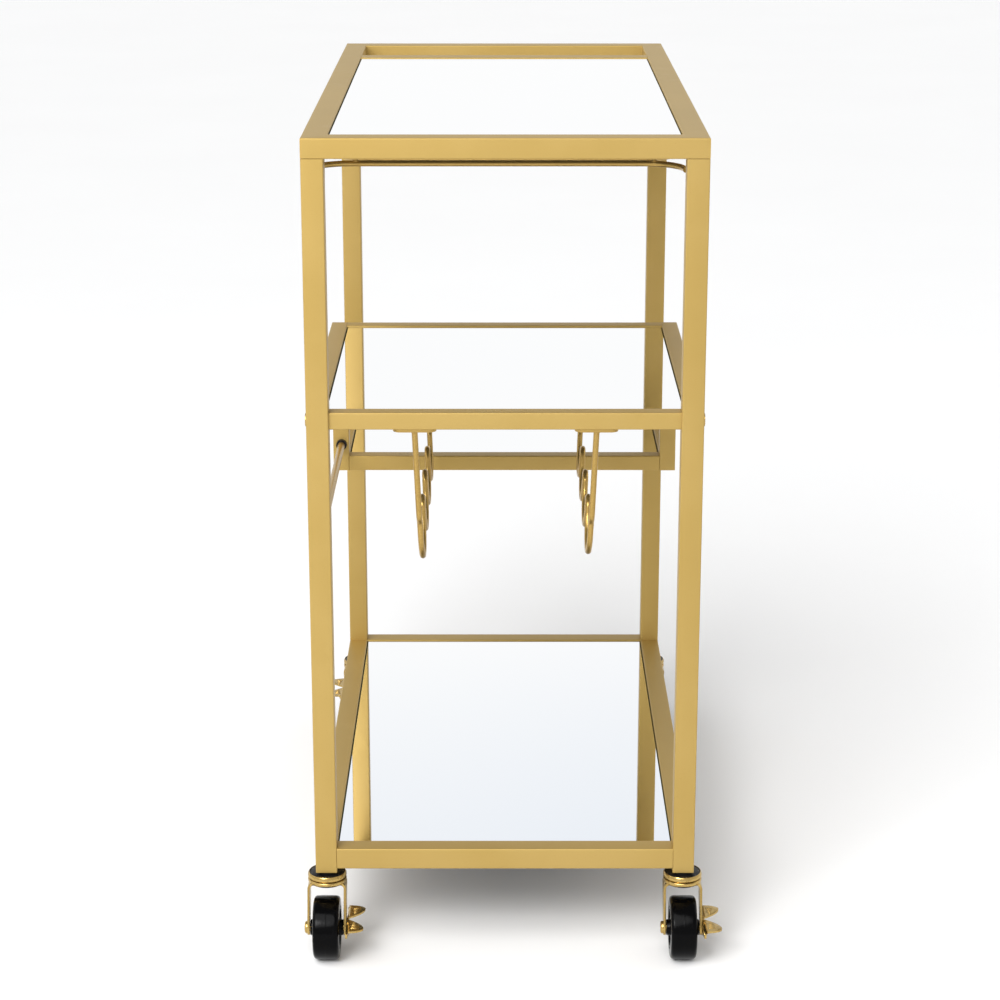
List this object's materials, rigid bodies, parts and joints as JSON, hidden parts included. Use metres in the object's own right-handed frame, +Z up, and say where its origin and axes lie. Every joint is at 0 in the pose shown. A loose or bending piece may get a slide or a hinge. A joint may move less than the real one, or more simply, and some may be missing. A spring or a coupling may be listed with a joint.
{
  "type": "bar cart",
  "caption": "Narrow rolling bar cart: square-tube frame with mirror shelves, a stepped middle tray, wire bottle cradles, a stemware rack, a push handle and braked swivel casters.",
  "frame": {"origin": "centre of the cart's bounding box on the floor, between its four casters at their rest positions", "axes": "+Z up, +Y along the cart towards the push handle, +X towards the open front where bottles and glasses go in"},
  "size_m": [0.4424, 0.825, 0.85],
  "materials": {
    "gold_frame": "satin gold powder coat",
    "gold_wire": "satin gold wire",
    "caster_gold": "bright gold plating",
    "mirror": "5 mm mirror glass",
    "wheel_black": "glossy black moulded tread",
    "hub_black": "black moulded hub",
    "black_plastic": "black",
    "zinc_steel": "zinc plated"
  },
  "bodies": {
    "cart": {"bottle_cradle_back": "gold_wire", "bottle_cradle_front": "gold_wire", "bottle_stop_rod": "gold_wire", "bottom_back_rail": "gold_frame", "bottom_front_rail": "gold_frame", "bottom_left_rail": "gold_frame", "bottom_mirror": "mirror", "bottom_right_rail": "gold_frame", "caster_stems": "zinc_steel", "cradle_plates": "gold_wire", "drop_post_back": "gold_frame", "drop_post_front": "gold_frame", "dust_covers": "black_plastic", "handle_rail": "gold_frame", "joint_bolts": "caster_gold", "leg_back_left": "gold_frame", "leg_back_right": "gold_frame", "leg_front_left": "gold_frame", "leg_front_right": "gold_frame", "leg_inserts": "black_plastic", "lower_tray_back_rail": "gold_frame", "lower_tray_end_rail": "gold_frame", "lower_tray_front_rail": "gold_frame", "lower_tray_mirror": "mirror", "lower_tray_step_rail": "gold_frame", "mirror_ledges": "gold_frame", "rod_sockets": "black_plastic", "stemware_hangers": "gold_wire", "stemware_wires": "gold_wire", "swivel_races": "caster_gold", "top_back_rail": "gold_frame", "top_cross_rail": "gold_frame", "top_end_rail": "gold_frame", "top_front_rail": "gold_frame", "top_mirror": "mirror", "upper_tray_back_rail": "gold_frame", "upper_tray_end_rail": "gold_frame", "upper_tray_front_rail": "gold_frame", "upper_tray_mirror": "mirror", "upper_tray_step_rail": "gold_frame"},
    "swivel_front_left": {"fork_front_left": "caster_gold", "axle_front_left": "caster_gold"},
    "wheel_front_left": {"wheel_front_left": "wheel_black", "wheel_hub_front_left": "hub_black"},
    "brake_front_left": {"brake_pedal_front_left": "caster_gold"},
    "swivel_back_left": {"fork_back_left": "caster_gold", "axle_back_left": "caster_gold"},
    "wheel_back_left": {"wheel_back_left": "wheel_black", "wheel_hub_back_left": "hub_black"},
    "brake_back_left": {"brake_pedal_back_left": "caster_gold"},
    "swivel_front_right": {"fork_front_right": "caster_gold", "axle_front_right": "caster_gold"},
    "wheel_front_right": {"wheel_front_right": "wheel_black", "wheel_hub_front_right": "hub_black"},
    "brake_front_right": {"brake_pedal_front_right": "caster_gold"},
    "swivel_back_right": {"fork_back_right": "caster_gold", "axle_back_right": "caster_gold"},
    "wheel_back_right": {"wheel_back_right": "wheel_black", "wheel_hub_back_right": "hub_black"},
    "brake_back_right": {"brake_pedal_back_right": "caster_gold"}
  },
  "joints": [
    {"name": "swivel_front_left", "type": "hinge", "parent": "cart", "child": "swivel_front_left", "pos_m": [0.184, -0.3615, 0.08], "axis": [0, 0, 1], "continuous": true},
    {"name": "wheel_front_left", "type": "hinge", "parent": "swivel_front_left", "child": "wheel_front_left", "pos_m": [0.184, -0.3795, 0.033], "axis": [1, 0, 0], "continuous": true},
    {"name": "brake_front_left", "type": "hinge", "parent": "swivel_front_left", "child": "brake_front_left", "pos_m": [0.184, -0.3795, 0.033], "axis": [1, 0, 0], "range_deg": [0, 20]},
    {"name": "swivel_back_left", "type": "hinge", "parent": "cart", "child": "swivel_back_left", "pos_m": [-0.184, -0.3615, 0.08], "axis": [0, 0, 1], "continuous": true},
    {"name": "wheel_back_left", "type": "hinge", "parent": "swivel_back_left", "child": "wheel_back_left", "pos_m": [-0.184, -0.3795, 0.033], "axis": [1, 0, 0], "continuous": true},
    {"name": "brake_back_left", "type": "hinge", "parent": "swivel_back_left", "child": "brake_back_left", "pos_m": [-0.184, -0.3795, 0.033], "axis": [1, 0, 0], "range_deg": [0, 20]},
    {"name": "swivel_front_right", "type": "hinge", "parent": "cart", "child": "swivel_front_right", "pos_m": [0.184, 0.2755, 0.08], "axis": [0, 0, 1], "continuous": true},
    {"name": "wheel_front_right", "type": "hinge", "parent": "swivel_front_right", "child": "wheel_front_right", "pos_m": [0.184, 0.2935, 0.033], "axis": [1, 0, 0], "continuous": true},
    {"name": "brake_front_right", "type": "hinge", "parent": "swivel_front_right", "child": "brake_front_right", "pos_m": [0.184, 0.2935, 0.033], "axis": [-1, 0, 0], "range_deg": [0, 20]},
    {"name": "swivel_back_right", "type": "hinge", "parent": "cart", "child": "swivel_back_right", "pos_m": [-0.184, 0.2755, 0.08], "axis": [0, 0, 1], "continuous": true},
    {"name": "wheel_back_right", "type": "hinge", "parent": "swivel_back_right", "child": "wheel_back_right", "pos_m": [-0.184, 0.2935, 0.033], "axis": [1, 0, 0], "continuous": true},
    {"name": "brake_back_right", "type": "hinge", "parent": "swivel_back_right", "child": "brake_back_right", "pos_m": [-0.184, 0.2935, 0.033], "axis": [-1, 0, 0], "range_deg": [0, 20]}
  ]
}
